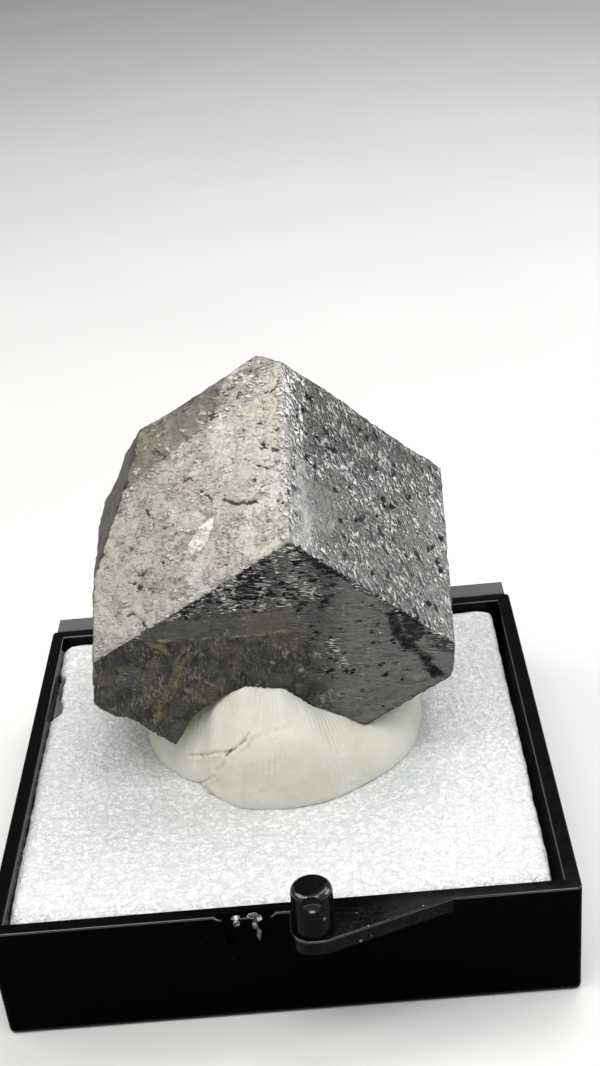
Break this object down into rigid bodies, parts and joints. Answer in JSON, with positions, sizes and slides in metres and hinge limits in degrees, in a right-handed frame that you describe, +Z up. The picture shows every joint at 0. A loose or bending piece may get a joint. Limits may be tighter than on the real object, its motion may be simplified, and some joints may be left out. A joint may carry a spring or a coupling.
{
  "type": "magnetite crystal",
  "caption": "Faceted black-grey magnetite crystal held by cream putty on a white foam pad in a low black display box base.",
  "frame": {"origin": "middle of the display box base's flat underside", "axes": "+Z up, out of the open box base towards the crystal; +Y from the front wall with the tab and post to the back wall; +X to the right"},
  "size_m": [0.05, 0.057, 0.0463],
  "materials": {
    "black_plastic": "polished black moulded polystyrene",
    "white_foam": "fine-celled white foam, matte with tiny sparkles",
    "cream_putty": "kneaded putty, satin, with finger ridges and creases",
    "magnetite": "sub-metallic to dull natural faces, etched and striated"
  },
  "bodies": {
    "root": {"box_base": "black_plastic", "foam_insert": "white_foam", "putty_mound": "cream_putty", "magnetite_crystal": "magnetite"}
  },
  "joints": []
}
